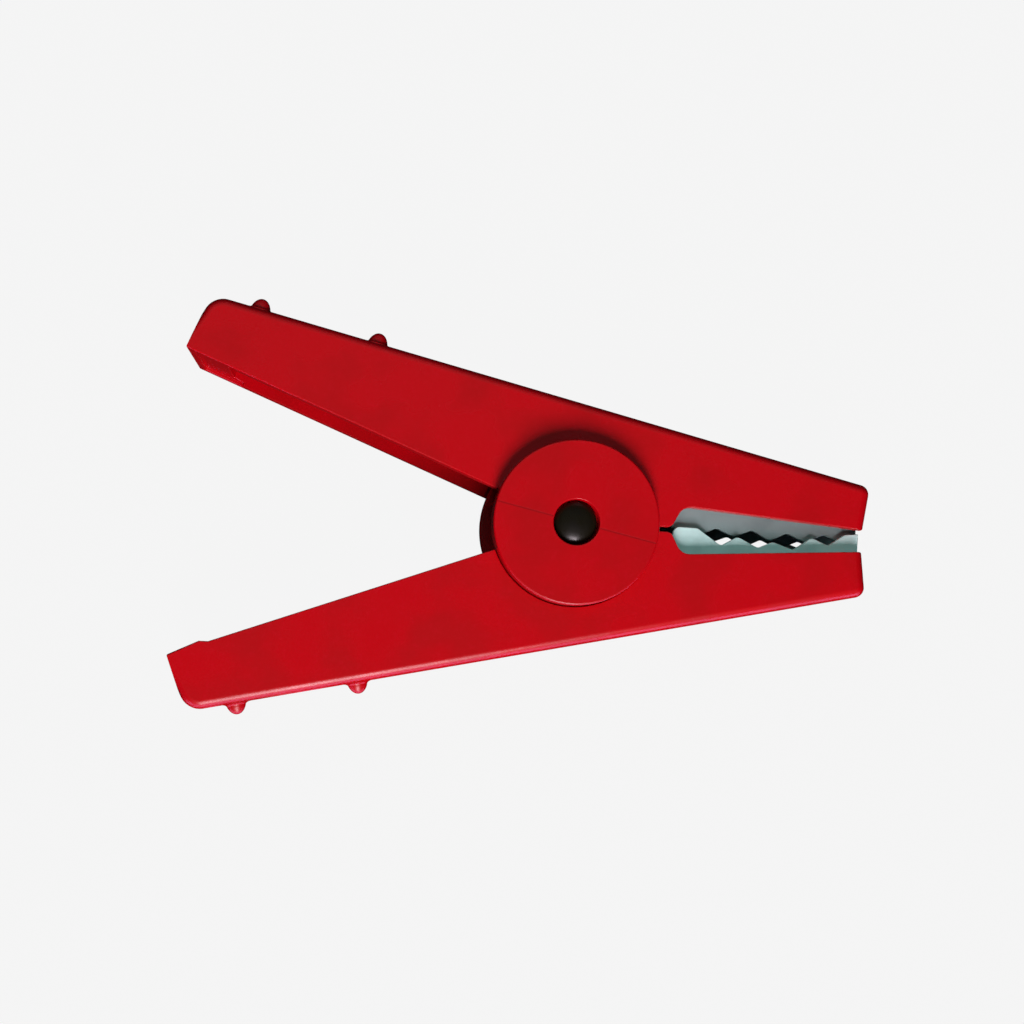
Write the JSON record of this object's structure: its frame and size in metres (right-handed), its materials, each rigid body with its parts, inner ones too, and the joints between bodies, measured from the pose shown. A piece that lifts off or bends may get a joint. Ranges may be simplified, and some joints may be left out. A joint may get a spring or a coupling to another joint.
{
  "type": "insulated alligator clip",
  "caption": "Fully insulated two-lever alligator clip for a test lead, with nested toothed sheet-metal jaws, small grip pips and a raised round hinge.",
  "frame": {"origin": "the pivot's axis, on the face of the pin's cap that the clip rests on when it lies on its flank", "axes": "+X along the closed jaws to their tip, +Y from the lower lever to the upper one, +Z along the pivot, up from the surface"},
  "size_m": [0.0595, 0.036, 0.0128],
  "materials": {
    "red_plastic": "moulded, satin, with a faint grain and a soft sheen along rounded edges",
    "black_plastic": "glossy black",
    "plated_steel": "dull nickel plate on pressed sheet",
    "spring_steel": "drawn wire and pressed spring strip, oiled",
    "screw_steel": "bright zinc plate",
    "brass": "plain pressed brass",
    "white_plastic": "natural nylon"
  },
  "bodies": {
    "upper_half": {"upper_lever": "red_plastic", "upper_jaw": "plated_steel", "torsion_spring": "spring_steel", "spring_sleeve": "white_plastic", "pivot_pin": "black_plastic", "pin_cap": "black_plastic", "upper_push_nut_rear": "spring_steel", "upper_push_nut_front": "spring_steel", "terminal_screw": "screw_steel", "clamp_washer": "brass"},
    "lower_half": {"lower_lever": "red_plastic", "lower_jaw": "plated_steel", "lower_push_nut_rear": "spring_steel", "lower_push_nut_front": "spring_steel"}
  },
  "joints": [
    {"name": "jaw_pivot", "type": "hinge", "parent": "upper_half", "child": "lower_half", "pos_m": [0, 0, 0], "axis": [0, 0, -1], "range_deg": [0, 38], "stiffness_Nm_per_rad": 0.08, "springref_deg": -8.59, "deforming": ["torsion_spring"]}
  ]
}
